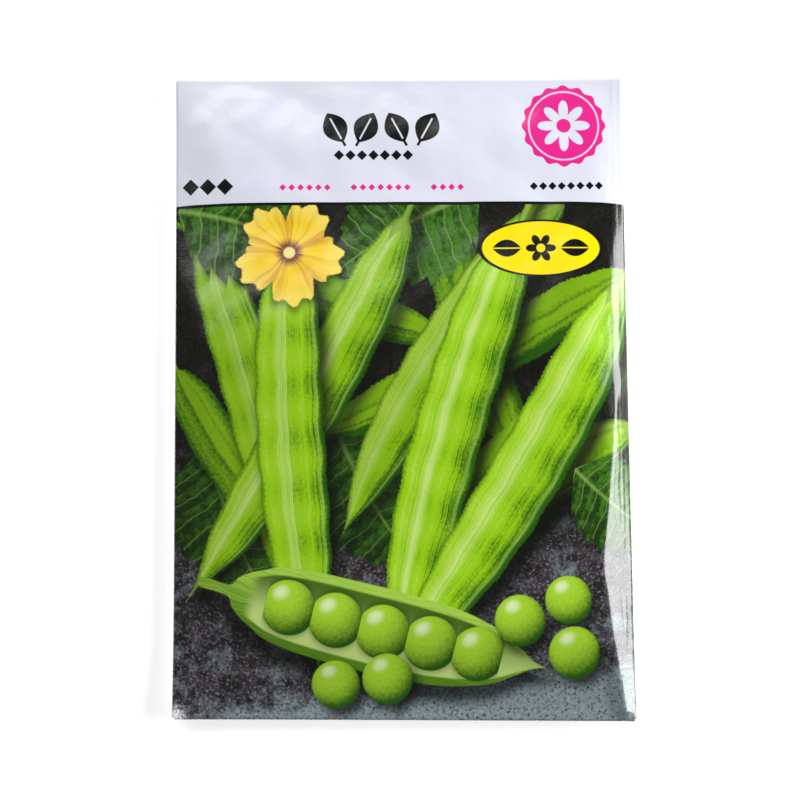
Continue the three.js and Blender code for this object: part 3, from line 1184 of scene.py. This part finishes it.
def seed_coat(settings):
    """Dull grey-green coat with a fine net"""
    paint = Finish("seed_skin")
    place = paint.object_place()
    net = paint.soft(paint.cells(place, 2400.0, "DISTANCE_TO_EDGE"), 0.02, 0.2)
    clouds = paint.noise(place, 700.0, 4.0, 0.6)
    coat = settings.seed
    colour = paint.mix(paint.soft(clouds, 0.3, 0.72), darker(coat, 0.4), coat)
    return paint.surface(
        Base_Color=paint.mix((1 - net) * 0.3, colour, linear(128, 132, 112)),
        Roughness=0.62 + 0.2 * clouds,
        Normal=paint.bumped(net + clouds, 0.00005),
    )


def floor_finish(settings):
    """Plain pale board"""
    paint = Finish("floor_board")
    tooth = paint.noise(paint.object_place(), 60.0, 3.0, 0.6)
    pale = settings.floor
    return paint.surface(
        Base_Color=paint.mix(tooth, pale, darker(pale, 0.985)),
        Roughness=0.85,
        Emission_Color=pale,
        Emission_Strength=FLOOR_GLOW,
    )


# Operators


class PACKET_OT_envelope(bpy.types.Operator):
    """Fold the printed sheet into the envelope"""

    bl_idname = "packet.envelope"
    bl_label = "Envelope"

    def execute(self, context):
        settings = context.scene.packet
        sheet = Sheet(settings.paper / MM)
        finishes = [front_print(settings), back_print(settings), bare_paper(settings)]
        piece = finish_object("packet", envelope_mesh(sheet), finishes, [ENVELOPE])
        wall = piece.modifiers.new("wall", "SOLIDIFY")
        wall.thickness = settings.paper
        wall.offset = 0
        wall.use_even_offset = True
        wall.material_offset = len(finishes)
        wall.material_offset_rim = len(finishes)
        return {"FINISHED"}


class PACKET_OT_glue(bpy.types.Operator):
    """Lay the glue in the side, bottom and top laps"""

    bl_idname = "packet.glue"
    bl_label = "Glue"

    def execute(self, context):
        settings = context.scene.packet
        sheet = Sheet(settings.paper / MM)
        finish = dry_glue(settings)
        inset, side_y, end_x = 1.5, 46.0, 30.0
        end_y = sheet.half_y - inset
        tab_left, tab_right = inset - sheet.half_x, TAB - inset - sheet.half_x
        bottom_high = BOTTOM_FLAP - inset - sheet.half_y
        top_low = sheet.half_y - TOP_FLAP + inset
        strips = (
            ("side_seam_glue", (tab_left, -side_y), (tab_right, side_y), (10, 110), LAP / 2),
            ("bottom_flap_glue", (-end_x, -end_y), (end_x, bottom_high), (74, 12), -LAP / 2),
            ("top_flap_glue", (-end_x, top_low), (end_x, end_y), (74, 16), -LAP / 2),
        )
        for node, low, high, steps, level in strips:
            bm = glue_mesh(low, high, steps, sheet.back, level)
            finish_object(node + "_film", bm, [finish], [node])
        return {"FINISHED"}


class PACKET_OT_seeds(bpy.types.Operator):
    """Put a finer seed in the place of each seed solid"""

    bl_idname = "packet.seeds"
    bl_label = "Seeds"

    def execute(self, context):
        finish = seed_coat(context.scene.packet)
        draw = random.Random(7)
        for node in sorted(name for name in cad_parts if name.startswith("seed_")):
            low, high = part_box(node)
            centre = (low + high) / (2 * MM)
            radius = min(high - low) / (2 * MM)
            bm = seed_mesh(centre, radius, draw)
            finish_object(node + "_fine", bm, [finish], [node])
        return {"FINISHED"}


class PACKET_OT_stage(bpy.types.Operator):
    """Set the floor, the lights and the camera"""

    bl_idname = "packet.stage"
    bl_label = "Stage"

    def execute(self, context):
        settings = context.scene.packet_stage
        bm = bmesh.new()
        bmesh.ops.create_grid(bm, x_segments=1, y_segments=1, size=FLOOR_HALF)
        mesh_object("floor", bm, [floor_finish(settings)])
        self.sky(context)
        for name, (place, size, power) in SOFTBOXES.items():
            self.softbox(name, place, size, power)
        self.camera(context, settings)
        context.scene.view_settings.view_transform = "Standard"
        return {"FINISHED"}

    def sky(self, context):
        world = bpy.data.worlds.new("studio")
        world.use_nodes = True
        background = world.node_tree.nodes["Background"]
        background.inputs["Color"].default_value = (*SKY, 1.0)
        background.inputs["Strength"].default_value = SKY_STRENGTH
        context.scene.world = world

    def softbox(self, name, place, size, power):
        light = bpy.data.lights.new(name, "AREA")
        light.shape = "RECTANGLE"
        light.size, light.size_y = size
        light.energy = power
        lamp = new_object(name, light)
        lamp.location = place
        lamp.rotation_euler = Vector(place).to_track_quat("Z", "Y").to_euler()

    def camera(self, context, settings):
        low, high = CAD_BOX
        aim = Vector((AIM_X, AIM_Y, (low.z + high.z) / 2))
        level = math.cos(settings.elevation)
        way = Vector(
            (
                -math.sin(settings.azimuth) * level,
                -math.cos(settings.azimuth) * level,
                math.sin(settings.elevation),
            )
        )
        data = bpy.data.cameras.new("camera")
        data.lens_unit = "FOV"
        data.angle = settings.field
        data.clip_start = 0.01
        camera = new_object("camera", data)
        camera.location = aim + way * settings.distance
        turn = way.to_track_quat("Z", "Y") @ Euler((0, 0, settings.roll)).to_quaternion()
        camera.rotation_euler = turn.to_euler()
        context.scene.camera = camera


class PACKET_PT_panel(bpy.types.Panel):
    """Lists the packet's pieces and settings"""

    bl_idname = "PACKET_PT_panel"
    bl_label = "Seed packet"
    bl_space_type = "VIEW_3D"
    bl_region_type = "UI"
    bl_category = "Seed packet"

    def draw(self, context):
        layout = self.layout
        for operator in OPERATORS:
            layout.operator(operator.bl_idname)
        for settings in (context.scene.packet, context.scene.packet_stage):
            box = layout.box()
            for name in settings.bl_rna.properties.keys():
                if name not in ("rna_type", "name"):
                    box.prop(settings, name)


OPERATORS = (PACKET_OT_envelope, PACKET_OT_glue, PACKET_OT_seeds, PACKET_OT_stage)
CLASSES = (PacketSettings, StageSettings, *OPERATORS, PACKET_PT_panel)


def register():
    for cls in CLASSES:
        bpy.utils.register_class(cls)
    bpy.types.Scene.packet = PointerProperty(type=PacketSettings)
    bpy.types.Scene.packet_stage = PointerProperty(type=StageSettings)


def unregister():
    del bpy.types.Scene.packet_stage
    del bpy.types.Scene.packet
    for cls in reversed(CLASSES):
        bpy.utils.unregister_class(cls)


def main():
    register()
    bpy.ops.packet.envelope()
    bpy.ops.packet.glue()
    bpy.ops.packet.seeds()
    bpy.ops.packet.stage()
    bpy.context.view_layer.update()


if __name__ == "__main__":
    main()
